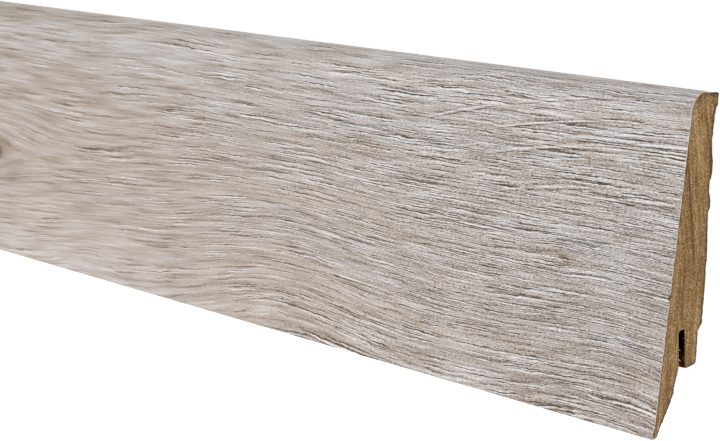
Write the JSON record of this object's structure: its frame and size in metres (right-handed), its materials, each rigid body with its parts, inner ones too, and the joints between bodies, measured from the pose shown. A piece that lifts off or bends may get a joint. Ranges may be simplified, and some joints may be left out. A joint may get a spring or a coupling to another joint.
{
  "type": "skirting board length",
  "caption": "Length of wood-look foil-wrapped fibreboard skirting with a leaning face, a rounded nose and a clip groove in its back.",
  "frame": {"origin": "middle of the board's length and height, on the plane that bears on the wall, at Z = 0", "axes": "+X along the board, +Y up the board as it is fitted, +Z out of the wall towards the face; stored lying on its back"},
  "size_m": [2.4, 0.06, 0.016],
  "materials": {
    "fibreboard": "raw medium-density fibreboard, planed along the back and sawn at the ends",
    "decor_foil": "matt white-grey oak print with embossed pores"
  },
  "bodies": {
    "root": {"mdf_core": "fibreboard", "decor_foil": "decor_foil"}
  },
  "joints": []
}
